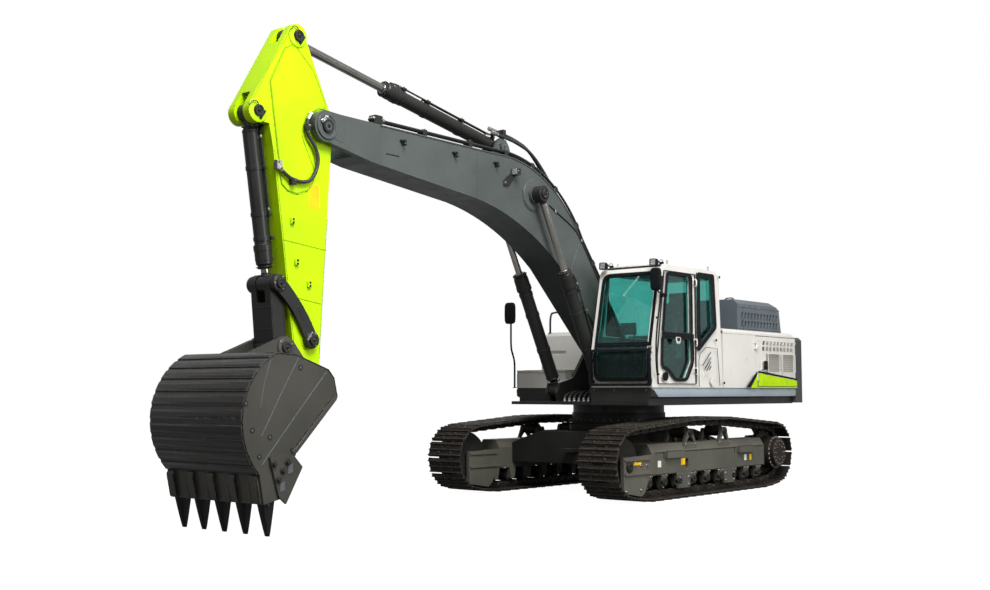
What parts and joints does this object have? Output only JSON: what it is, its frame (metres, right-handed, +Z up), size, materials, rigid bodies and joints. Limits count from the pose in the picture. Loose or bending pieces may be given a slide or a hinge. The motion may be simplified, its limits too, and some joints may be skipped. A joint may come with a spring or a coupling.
{
  "type": "crawler excavator",
  "caption": "Crawler excavator with a turning cab and engine house, bent boom, straight arm and toothed bucket worked by cylinders.",
  "frame": {"origin": "on the swing axis at ground level, in the middle of both tracks", "axes": "+X forwards along the boom, +Y to the cab side (left), +Z up"},
  "size_m": [11.1248, 3.2803, 5.46],
  "materials": {
    "track_steel": "worn dark steel",
    "frame_paint": "dark grey paint",
    "white_paint": "gloss warm white paint",
    "lime_paint": "gloss yellow-green paint",
    "boom_paint": "satin slate paint",
    "weight_paint": "satin dark grey paint",
    "cylinder_paint": "satin black paint",
    "chrome": "polished chrome",
    "glass": "green tinted glass",
    "interior": "textured dark plastic",
    "hose_rubber": "black hose rubber",
    "engine": "cast iron",
    "bucket_steel": "dark bronze-grey paint",
    "tooth_steel": "forged steel"
  },
  "bodies": {
    "undercarriage": {"car_body": "frame_paint", "swing_bearing": "track_steel", "track_left": "track_steel", "track_frame_left": "frame_paint", "idler_left": "frame_paint", "sprocket_left": "frame_paint", "rollers_left": "frame_paint", "track_right": "track_steel", "track_frame_right": "frame_paint", "idler_right": "frame_paint", "sprocket_right": "frame_paint", "rollers_right": "frame_paint"},
    "upper": {"upper_frame": "frame_paint", "counterweight": "weight_paint", "cab_shell": "white_paint", "cab_glass": "glass", "cab_interior": "interior", "cab_guard": "frame_paint", "mirrors_and_lamps": "interior", "rear_body": "white_paint", "engine_block": "engine", "fuel_tank": "white_paint", "tool_box": "white_paint"},
    "cab_door": {"cab_door": "white_paint", "cab_door_glass": "glass"},
    "engine_hood": {"engine_hood": "boom_paint"},
    "left_rear_door": {"left_rear_door": "white_paint"},
    "right_pump_door": {"right_pump_door": "white_paint"},
    "tool_box_lid": {"tool_box_lid": "white_paint"},
    "boom": {"boom_box": "boom_paint", "boom_pipes": "cylinder_paint"},
    "boom_cylinder_left": {"boom_cylinder_left": "cylinder_paint"},
    "boom_rod_left": {"boom_rod_left": "chrome"},
    "boom_cylinder_right": {"boom_cylinder_right": "cylinder_paint"},
    "boom_rod_right": {"boom_rod_right": "chrome"},
    "arm": {"arm_box": "lime_paint", "arm_hoses": "hose_rubber"},
    "arm_cylinder": {"arm_cylinder": "cylinder_paint"},
    "arm_rod": {"arm_rod": "chrome"},
    "bucket_cylinder": {"bucket_cylinder": "cylinder_paint"},
    "bucket_rod": {"bucket_rod": "chrome"},
    "rockers": {"rockers": "cylinder_paint"},
    "bucket_link": {"bucket_link": "cylinder_paint"},
    "bucket": {"bucket_shell": "bucket_steel", "bucket_teeth": "tooth_steel"}
  },
  "joints": [
    {"name": "swing", "type": "hinge", "parent": "undercarriage", "child": "upper", "pos_m": [0, 0, 1.13], "axis": [0, 0, 1], "continuous": true},
    {"name": "cab_door_hinge", "type": "hinge", "parent": "upper", "child": "cab_door", "pos_m": [0.3, 1.512, 2.3], "axis": [0, 0, 1], "range_deg": [0, 170]},
    {"name": "engine_hood_hinge", "type": "hinge", "parent": "upper", "child": "engine_hood", "pos_m": [-2.79, 0, 2.33], "axis": [0, -1, 0], "range_deg": [0, 65]},
    {"name": "left_rear_door_hinge", "type": "hinge", "parent": "upper", "child": "left_rear_door", "pos_m": [-1.494, 1.512, 1.9], "axis": [0, 0, -1], "range_deg": [0, 110]},
    {"name": "right_pump_door_hinge", "type": "hinge", "parent": "upper", "child": "right_pump_door", "pos_m": [-1.299, -1.502, 1.9], "axis": [0, 0, 1], "range_deg": [0, 110]},
    {"name": "tool_box_lid_hinge", "type": "hinge", "parent": "upper", "child": "tool_box_lid", "pos_m": [-0.005, -1.02, 1.784], "axis": [0, -1, 0], "range_deg": [0, 80]},
    {"name": "boom_lift", "type": "hinge", "parent": "upper", "child": "boom", "pos_m": [0.2, 0, 1.95], "axis": [0, -1, 0], "range_deg": [-62, 38]},
    {"name": "arm_crowd", "type": "hinge", "parent": "boom", "child": "arm", "pos_m": [6.16, 0, 4.37], "axis": [0, -1, 0], "range_deg": [-34, 81]},
    {"name": "bucket_curl", "type": "hinge", "parent": "arm", "child": "bucket", "pos_m": [6.33, 0, 1.5], "axis": [0, 1, 0], "range_deg": [-4, 140]},
    {"name": "boom_cylinder_left_tilt", "type": "hinge", "parent": "upper", "child": "boom_cylinder_left", "pos_m": [1.03, 0.388, 1.46], "axis": [0, -1, 0], "range_deg": [-65.91, 40.59]},
    {"name": "boom_rod_left_slide", "type": "slide", "parent": "boom_cylinder_left", "child": "boom_rod_left", "axis": [0.4701, 0, 0.8826], "range_m": [-0.9337, 0.573]},
    {"name": "boom_cylinder_right_tilt", "type": "hinge", "parent": "upper", "child": "boom_cylinder_right", "pos_m": [1.03, -0.388, 1.46], "axis": [0, -1, 0], "range_deg": [-65.91, 40.59]},
    {"name": "boom_rod_right_slide", "type": "slide", "parent": "boom_cylinder_right", "child": "boom_rod_right", "axis": [0.4701, 0, 0.8826], "range_m": [-0.9337, 0.573]},
    {"name": "arm_cylinder_tilt", "type": "hinge", "parent": "boom", "child": "arm_cylinder", "pos_m": [2.89, 0, 4.665], "axis": [0, -1, 0], "range_deg": [-1.86, 3.74]},
    {"name": "arm_rod_slide", "type": "slide", "parent": "arm_cylinder", "child": "arm_rod", "axis": [0.9839, 0, 0.1789], "range_m": [-1.2461, 0.5242]},
    {"name": "bucket_cylinder_tilt", "type": "hinge", "parent": "arm", "child": "bucket_cylinder", "pos_m": [7.06, 0, 4.4], "axis": [0, -1, 0], "range_deg": [-0.71, 7.92]},
    {"name": "bucket_rod_slide", "type": "slide", "parent": "bucket_cylinder", "child": "bucket_rod", "axis": [-0.1577, 0, -0.9875], "range_m": [-0.034, 1.1211]},
    {"name": "rocker_turn", "type": "hinge", "parent": "arm", "child": "rockers", "pos_m": [6.3, 0, 1.995], "axis": [0, 1, 0], "range_deg": [-3.48, 104.8]},
    {"name": "bucket_link_turn", "type": "hinge", "parent": "rockers", "child": "bucket_link", "pos_m": [6.77, 0, 2.584], "axis": [0, -1, 0], "range_deg": [-2.5, 70.5]}
  ],
  "couplings": [
    {"joint": "boom_cylinder_left_tilt", "follows": "boom_lift", "ratio": 1.055},
    {"joint": "boom_rod_left_slide", "follows": "boom_lift", "m_per_rad": 0.861},
    {"joint": "boom_cylinder_right_tilt", "follows": "boom_lift", "ratio": 1.055},
    {"joint": "boom_rod_right_slide", "follows": "boom_lift", "m_per_rad": 0.861},
    {"joint": "arm_cylinder_tilt", "follows": "arm_crowd", "ratio": 0.04},
    {"joint": "arm_rod_slide", "follows": "arm_crowd", "m_per_rad": -0.88},
    {"joint": "bucket_cylinder_tilt", "follows": "bucket_curl", "ratio": 0.053},
    {"joint": "bucket_rod_slide", "follows": "bucket_curl", "m_per_rad": 0.458},
    {"joint": "rocker_turn", "follows": "bucket_curl", "ratio": 0.745},
    {"joint": "bucket_link_turn", "follows": "bucket_curl", "ratio": 0.5}
  ]
}
